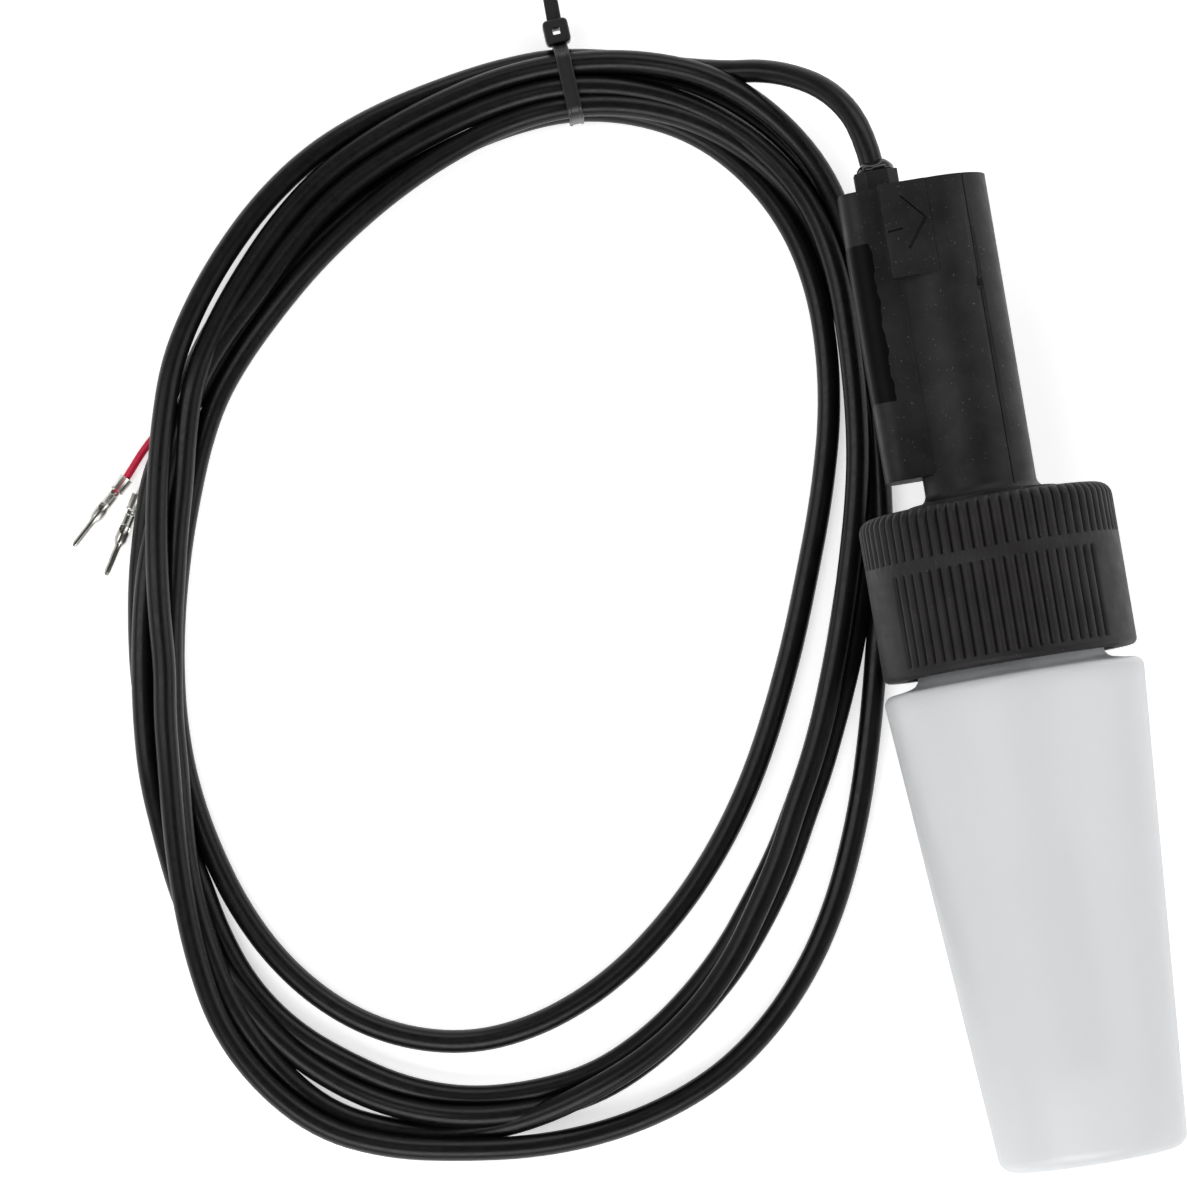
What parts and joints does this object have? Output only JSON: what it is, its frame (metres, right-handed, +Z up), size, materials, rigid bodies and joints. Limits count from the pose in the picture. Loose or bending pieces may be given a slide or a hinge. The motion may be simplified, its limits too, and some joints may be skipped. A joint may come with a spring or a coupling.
{
  "type": "flow switch",
  "caption": "Paddle flow switch with a ribbed union nut, side reed box, milky transit cup over the paddle, and a coiled two-core lead with crimped pins.",
  "frame": {"origin": "on the table, under the middle of the switch as it lies on its side, the lead left out", "axes": "+Y along the switch's axis towards the cable end, +X the flow direction of the arrow, +Z up from the table"},
  "size_m": [0.1679, 0.2179, 0.0419],
  "materials": {
    "housing_plastic": "moulded, fine grain",
    "nut_plastic": "moulded, satin",
    "cup_plastic": "milky, translucent",
    "paddle_plastic": "moulded",
    "seal_rubber": "smooth",
    "sealant": "wet-looking bead",
    "epoxy": "cast",
    "steel": "bright",
    "magnet": "nickel plated",
    "glass": "clear",
    "reed": "bright",
    "board": "lacquered",
    "solder": "bright",
    "cable_jacket": "soft, semi-gloss",
    "tie_plastic": "smooth",
    "red_insulation": "smooth",
    "white_insulation": "smooth",
    "tin": "tinned"
  },
  "bodies": {
    "housing": {"switch_body": "housing_plastic", "cable_gland": "housing_plastic", "sealant": "sealant", "potting": "epoxy", "o_ring": "seal_rubber", "pivot_pin": "steel", "return_spring": "steel", "circuit_board": "board", "reed_glass": "glass", "upper_reed": "reed", "lower_reed": "reed", "solder_joints": "solder", "inner_red_core": "red_insulation", "inner_white_core": "white_insulation", "lead_run": "cable_jacket", "lead_coil": "cable_jacket", "cable_tie": "tie_plastic", "red_core": "red_insulation", "white_core": "white_insulation", "red_terminal": "tin", "white_terminal": "tin"},
    "nut": {"union_nut": "nut_plastic"},
    "cup": {"transit_cup": "cup_plastic"},
    "vane": {"paddle": "paddle_plastic", "paddle_magnet": "magnet"}
  },
  "joints": [
    {"name": "nut_spin", "type": "hinge", "parent": "housing", "child": "nut", "pos_m": [0, 0.01035, 0.021], "axis": [0, 1, 0], "continuous": true},
    {"name": "cup_off", "type": "slide", "parent": "housing", "child": "cup", "axis": [0, -1, 0], "range_m": [0, 0.095]},
    {"name": "paddle_swing", "type": "hinge", "parent": "housing", "child": "vane", "pos_m": [0, -0.00165, 0.021], "axis": [0, 0, 1], "range_deg": [0, 5], "stiffness_Nm_per_rad": 0.02, "deforming": ["return_spring"]}
  ]
}
